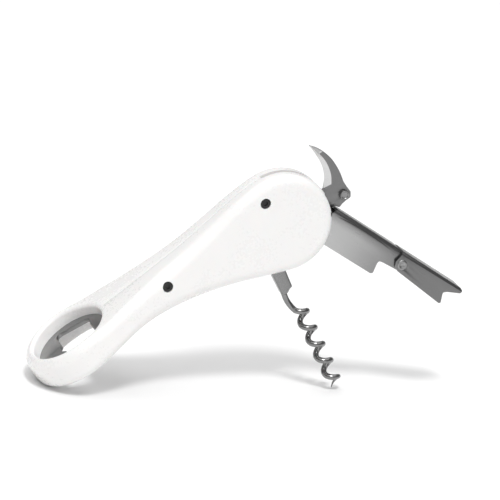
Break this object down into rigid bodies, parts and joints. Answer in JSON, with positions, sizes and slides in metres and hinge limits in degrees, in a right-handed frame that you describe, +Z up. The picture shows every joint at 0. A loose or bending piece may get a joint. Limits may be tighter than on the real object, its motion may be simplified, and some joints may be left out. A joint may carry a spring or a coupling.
{
  "type": "waiters corkscrew",
  "caption": "Folding pocket corkscrew, open: white two-shell handle with a cap-lifter loop, five-turn worm, two-step steel lever and a hooked foil blade.",
  "frame": {"origin": "centre of the object's box on the floor that it stands on, resting on the rim of its loop and the tip of its worm", "axes": "+X from the loop towards the lever, +Z up, Y across the handle with the thumb stud on the -Y side"},
  "size_m": [0.1852, 0.0424, 0.1074],
  "materials": {
    "handle_plastic": "satin gloss",
    "satin_steel": "satin",
    "bright_steel": "stamped satin",
    "worm_steel": "polished",
    "blade_steel": "ground satin",
    "stud_steel": "turned",
    "pin_steel": "turned",
    "spring_steel": "rolled",
    "black_steel": "black oxide",
    "spacer_plastic": "matt"
  },
  "bodies": {
    "handle": {"left_shell": "handle_plastic", "right_shell": "handle_plastic", "opener_plate": "bright_steel", "head_screw": "black_steel", "head_screw_barrel": "black_steel", "neck_screw": "black_steel", "neck_screw_barrel": "black_steel", "worm_pin": "pin_steel", "worm_spacers": "spacer_plastic", "lever_pin": "pin_steel", "lever_bushes": "spacer_plastic", "blade_pin": "black_steel", "blade_spacers": "spacer_plastic", "back_spring": "spring_steel"},
    "worm_arm": {"worm_shank": "satin_steel", "worm": "worm_steel"},
    "blade_arm": {"blade": "blade_steel", "thumb_stud": "stud_steel"},
    "lever_arm": {"upper_lever": "satin_steel", "joint_spring": "spring_steel"},
    "lever_tip": {"lower_lever": "satin_steel", "joint_rivet": "pin_steel"}
  },
  "joints": [
    {"name": "worm_fold", "type": "hinge", "parent": "handle", "child": "worm_arm", "pos_m": [0.00646, 0, 0.06736], "axis": [0, -1, 0], "range_deg": [-86, 0]},
    {"name": "lever_fold", "type": "hinge", "parent": "handle", "child": "lever_arm", "pos_m": [0.0243, 0, 0.07124], "axis": [0, -1, 0], "range_deg": [-123, 0]},
    {"name": "blade_fold", "type": "hinge", "parent": "handle", "child": "blade_arm", "pos_m": [0.02736, 0, 0.0794], "axis": [0, 1, 0], "range_deg": [-39, 0]},
    {"name": "lever_tip_fold", "type": "hinge", "parent": "lever_arm", "child": "lever_tip", "pos_m": [0.06338, 0, 0.05815], "axis": [0, 1, 0], "range_deg": [0, 12]}
  ],
  "couplings": [
    {"joint": "lever_fold", "follows": "worm_fold", "ratio": 1.4302}
  ]
}
